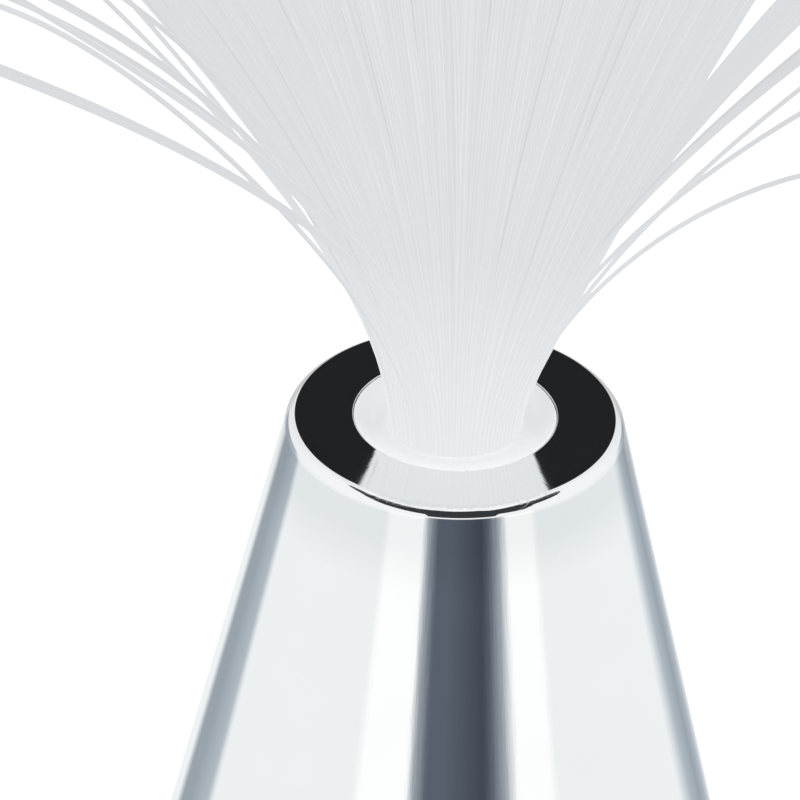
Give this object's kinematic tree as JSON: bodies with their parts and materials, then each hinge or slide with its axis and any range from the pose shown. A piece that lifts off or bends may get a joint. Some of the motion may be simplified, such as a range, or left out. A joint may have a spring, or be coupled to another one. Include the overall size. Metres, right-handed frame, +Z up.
{
  "type": "fiber optic lamp",
  "caption": "Cordless fibre optic lamp: a polished conical base with a flat top and a lift-out head that spreads into a spray of clear light fibres.",
  "frame": {"origin": "on the table, under the middle of the base", "axes": "+Z up along the cone's axis, +Y towards the battery door's screw, -Y towards the viewer and the door's hinge, +X towards the switch"},
  "size_m": [0.3031, 0.303, 0.3182],
  "materials": {
    "polished_metal": "polished",
    "black_plastic": "matte",
    "rubber": "matte",
    "steel": "satin",
    "cell_can": "satin",
    "white_plastic": "satin",
    "ferrule_white": "satin",
    "board_green": "satin",
    "led_red": "gloss",
    "led_green": "gloss",
    "led_blue": "gloss",
    "resistor_body": "satin",
    "wire_red": "satin",
    "knob_white": "satin",
    "brass": "satin",
    "fibre_clear": "gloss"
  },
  "bodies": {
    "base": {"cone_shell": "polished_metal", "base_plate": "black_plastic", "rubber_feet": "rubber", "base_screws": "steel", "battery_1": "cell_can", "battery_2": "cell_can", "battery_3": "cell_can", "battery_springs": "steel", "contact_plates": "steel", "switch_case": "black_plastic", "switch_frame": "steel", "switch_screws": "steel", "socket_tube": "white_plastic", "flange_screws": "steel", "reflector_cup": "white_plastic", "circuit_board": "board_green", "board_screws": "steel", "red_led": "led_red", "green_led": "led_green", "blue_led": "led_blue", "driver_chip": "black_plastic", "resistors": "resistor_body", "lead_wires": "wire_red"},
    "head": {"ferrule": "ferrule_white", "fibre_bundle": "fibre_clear", "crimp_ring": "brass", "fibre_spray": "fibre_clear"},
    "door": {"battery_door": "black_plastic", "door_screw": "steel"},
    "knob": {"switch_knob": "knob_white"}
  },
  "joints": [
    {"name": "head_lift", "type": "slide", "parent": "base", "child": "head", "axis": [0, 0, 1], "range_m": [0, 0.036]},
    {"name": "battery_door_hinge", "type": "hinge", "parent": "base", "child": "door", "pos_m": [0, -0.03135, 0.0042], "axis": [-1, 0, 0], "range_deg": [0, 45]},
    {"name": "switch_slide", "type": "slide", "parent": "base", "child": "knob", "axis": [0, 1, 0], "range_m": [0, 0.004]}
  ]
}
